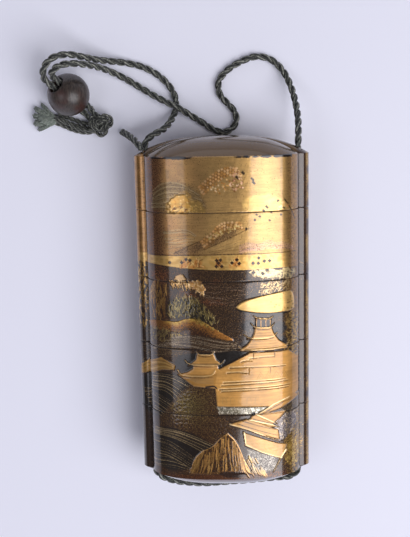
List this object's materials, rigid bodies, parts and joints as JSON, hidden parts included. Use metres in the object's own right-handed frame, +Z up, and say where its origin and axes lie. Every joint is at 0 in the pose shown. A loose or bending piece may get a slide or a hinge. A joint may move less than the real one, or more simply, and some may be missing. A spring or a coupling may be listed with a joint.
{
  "type": "inro case",
  "caption": "Flat oval lacquered inro of stacked nesting cases under a domed lid, strung on a silk cord that ends in a round wooden bead and a knot.",
  "frame": {"origin": "on the surface the case lies on, below the middle of its box; the box takes in the case and the cord it holds, without the free strands, bead and knot", "axes": "+Y along the case towards its lid; +Z up, out of the painted face; +X across, to the right of the painted face"},
  "size_m": [0.0761, 0.123, 0.024],
  "materials": {
    "gold_lacquer": "gold-sprinkled lacquer on thin wood, polished",
    "silk_cord": "twisted grey-green silk",
    "bead_wood": "dark waxed hardwood"
  },
  "bodies": {
    "root": {"lid": "gold_lacquer", "case_1": "gold_lacquer", "case_2": "gold_lacquer", "case_3": "gold_lacquer", "case_4": "gold_lacquer", "cord_held": "silk_cord", "cord_right": "silk_cord", "cord_left": "silk_cord", "cord_stub": "silk_cord", "bead": "bead_wood", "knot": "silk_cord", "cord_ends": "silk_cord"}
  },
  "joints": []
}
